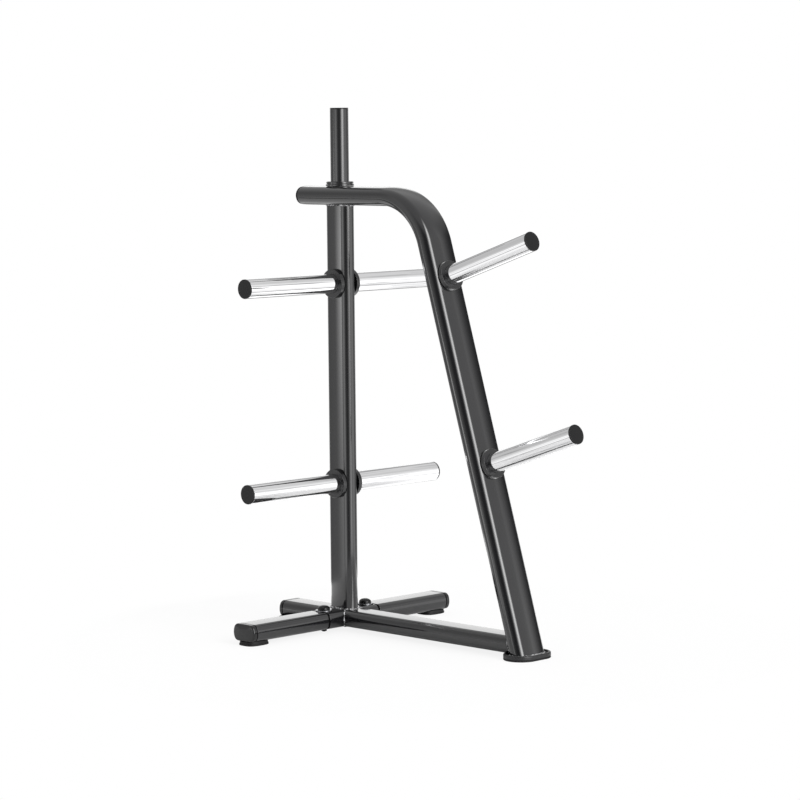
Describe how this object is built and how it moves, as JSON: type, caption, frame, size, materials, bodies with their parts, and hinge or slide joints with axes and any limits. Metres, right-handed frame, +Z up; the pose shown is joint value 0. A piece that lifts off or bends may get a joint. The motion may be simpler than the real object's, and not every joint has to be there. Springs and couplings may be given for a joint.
{
  "type": "plate tree",
  "caption": "Free-standing weight plate rack: oval post and leaning bent leg on a cross-shaped base, chromed storage pegs on post and leg, and a short spindle on top.",
  "frame": {"origin": "on the floor, under the middle of the rack's bounding box", "axes": "+X along the frame from the upright post towards the leaning leg, +Y across it towards the rear foot, +Z up"},
  "size_m": [1.0494, 0.726, 1.377],
  "materials": {
    "frame_paint": "satin charcoal powder coat over steel",
    "chrome": "polished chrome plate",
    "black_plastic": "satin moulded plastic",
    "rubber": "matt moulded rubber",
    "zinc_steel": "bright zinc plate"
  },
  "bodies": {
    "root": {"post_tube": "frame_paint", "arch_tube": "frame_paint", "base_beam": "frame_paint", "arch_end_cap": "black_plastic", "beam_end_cap": "black_plastic", "leg_foot_plate": "frame_paint", "leg_foot_mat": "rubber", "beam_foot_plate": "frame_paint", "beam_foot_mat": "rubber", "rear_socket_stub": "frame_paint", "rear_spigot": "frame_paint", "rear_joint_ring": "rubber", "rear_foot_tube": "frame_paint", "rear_foot_cap": "black_plastic", "rear_foot_pad": "rubber", "rear_foot_bolt": "zinc_steel", "rear_bolt_washer": "zinc_steel", "rear_bolt_cover": "black_plastic", "rear_low_washer": "zinc_steel", "rear_bolt_nut": "zinc_steel", "front_socket_stub": "frame_paint", "front_spigot": "frame_paint", "front_joint_ring": "rubber", "front_foot_tube": "frame_paint", "front_foot_cap": "black_plastic", "front_foot_pad": "rubber", "front_foot_bolt": "zinc_steel", "front_bolt_washer": "zinc_steel", "front_bolt_cover": "black_plastic", "front_low_washer": "zinc_steel", "front_bolt_nut": "zinc_steel", "upper_cross_tube": "frame_paint", "front_upper_peg_collar": "frame_paint", "front_upper_peg_sleeve": "chrome", "front_upper_peg_end_cap": "black_plastic", "rear_upper_peg_collar": "frame_paint", "rear_upper_peg_sleeve": "chrome", "rear_upper_peg_end_cap": "black_plastic", "lower_cross_tube": "frame_paint", "front_lower_peg_collar": "frame_paint", "front_lower_peg_sleeve": "chrome", "front_lower_peg_end_cap": "black_plastic", "rear_lower_peg_collar": "frame_paint", "rear_lower_peg_sleeve": "chrome", "rear_lower_peg_end_cap": "black_plastic", "leg_upper_peg_collar": "frame_paint", "leg_upper_peg_sleeve": "chrome", "leg_upper_peg_end_cap": "black_plastic", "leg_upper_peg_core": "frame_paint", "leg_lower_peg_collar": "frame_paint", "leg_lower_peg_sleeve": "chrome", "leg_lower_peg_end_cap": "black_plastic", "leg_lower_peg_core": "frame_paint", "spindle_collar": "frame_paint", "spindle_tube": "frame_paint", "spindle_cap": "black_plastic"}
  },
  "joints": []
}
